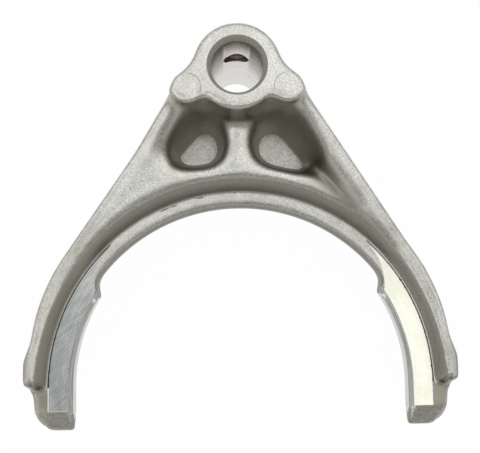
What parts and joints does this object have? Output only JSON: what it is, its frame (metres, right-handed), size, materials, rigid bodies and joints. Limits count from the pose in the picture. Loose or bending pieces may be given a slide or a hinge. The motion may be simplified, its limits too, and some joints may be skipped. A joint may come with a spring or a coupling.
{
  "type": "shift fork",
  "caption": "One-piece cast gearbox shift fork: a bored hub on a flanged yoke whose arms end in milled pads round a gear sleeve.",
  "frame": {"origin": "on the axis of the shift rail bore, level with the rear face of the hub", "axes": "+Z along the bore to the front of the hub, +Y away from the sleeve the arms embrace, +X towards the arm on the right in front view"},
  "size_m": [0.1234, 0.1117, 0.046],
  "materials": {
    "cast_aluminium": "as cast, with machined bore, seat and pads"
  },
  "bodies": {
    "root": {"fork": "cast_aluminium"}
  },
  "joints": []
}
